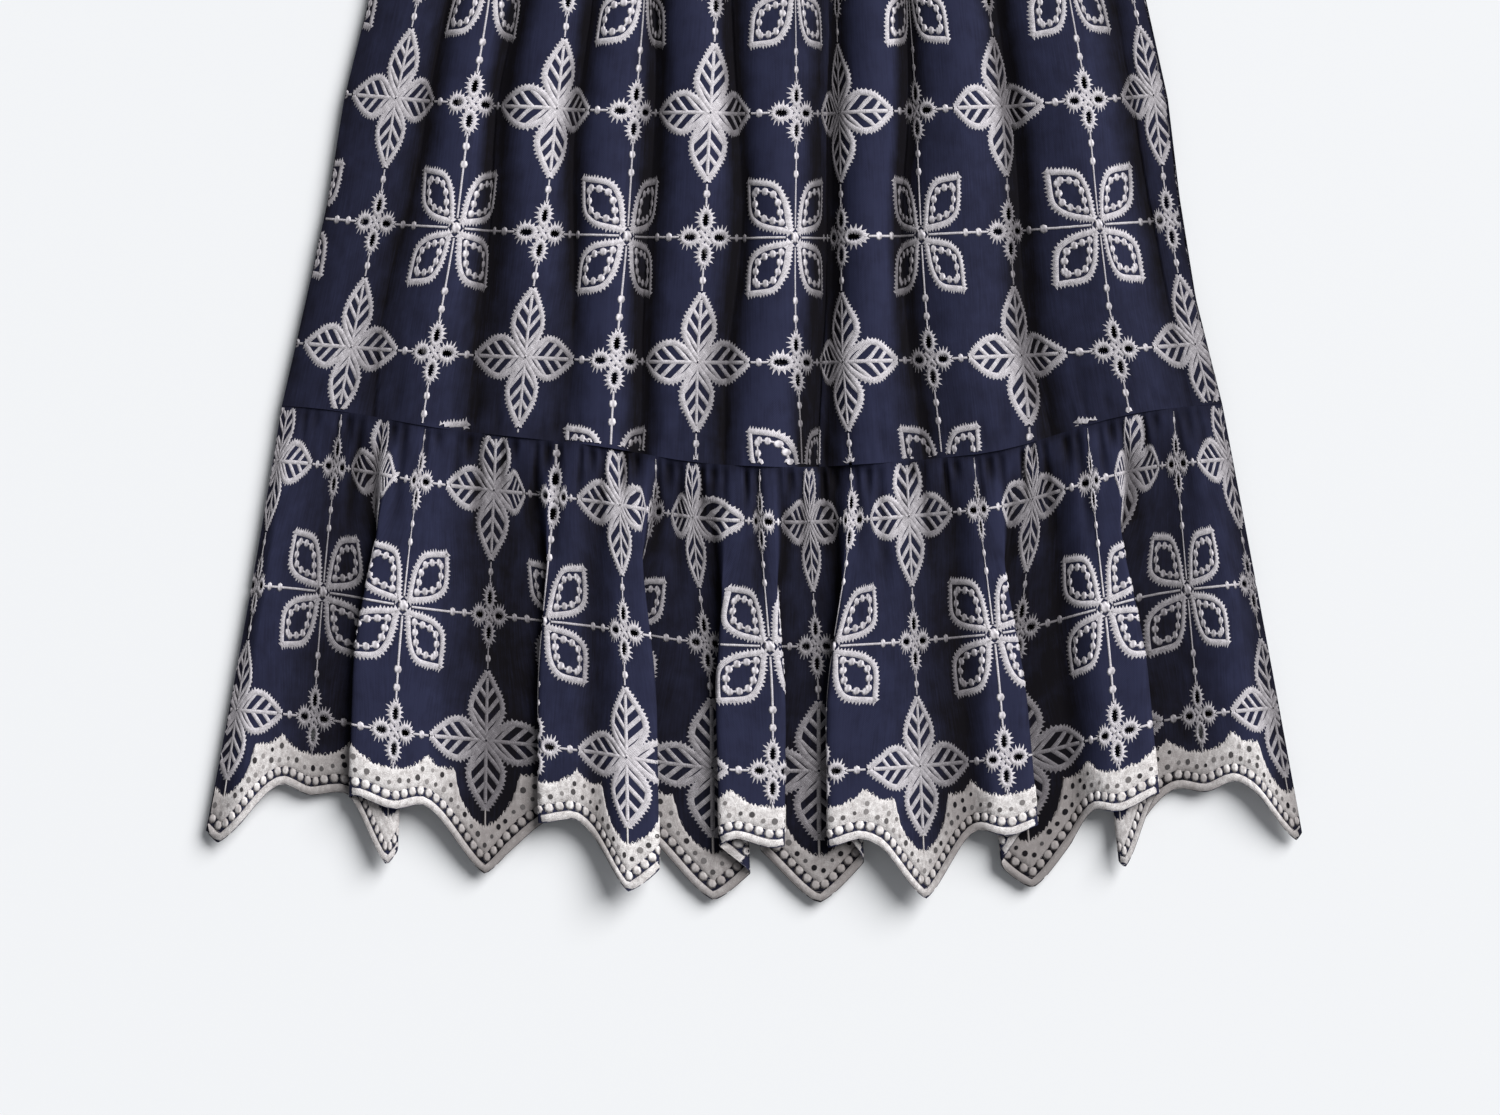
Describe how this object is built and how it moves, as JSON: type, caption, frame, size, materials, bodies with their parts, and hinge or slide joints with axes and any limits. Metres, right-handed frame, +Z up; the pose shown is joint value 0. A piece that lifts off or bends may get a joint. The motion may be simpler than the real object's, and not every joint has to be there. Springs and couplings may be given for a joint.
{
  "type": "tiered ruffle skirt laid flat",
  "caption": "Gathered tiered skirt laid flat: flared upper tier, full bottom ruffle with lapped folds, scalloped hem and plain elasticated waistband.",
  "frame": {"origin": "middle of the skirt's outline, on the surface it lies on", "axes": "+X across the skirt to the picture's right, +Y up the skirt to the waist, +Z up off the surface"},
  "size_m": [0.6364, 0.7922, 0.0179],
  "materials": {
    "cloth": "matte woven cotton, navy"
  },
  "bodies": {
    "root": {"waistband_front": "cloth", "waistband_back": "cloth", "upper_front": "cloth", "upper_back": "cloth", "ruffle_front": "cloth", "ruffle_back": "cloth"}
  },
  "joints": []
}
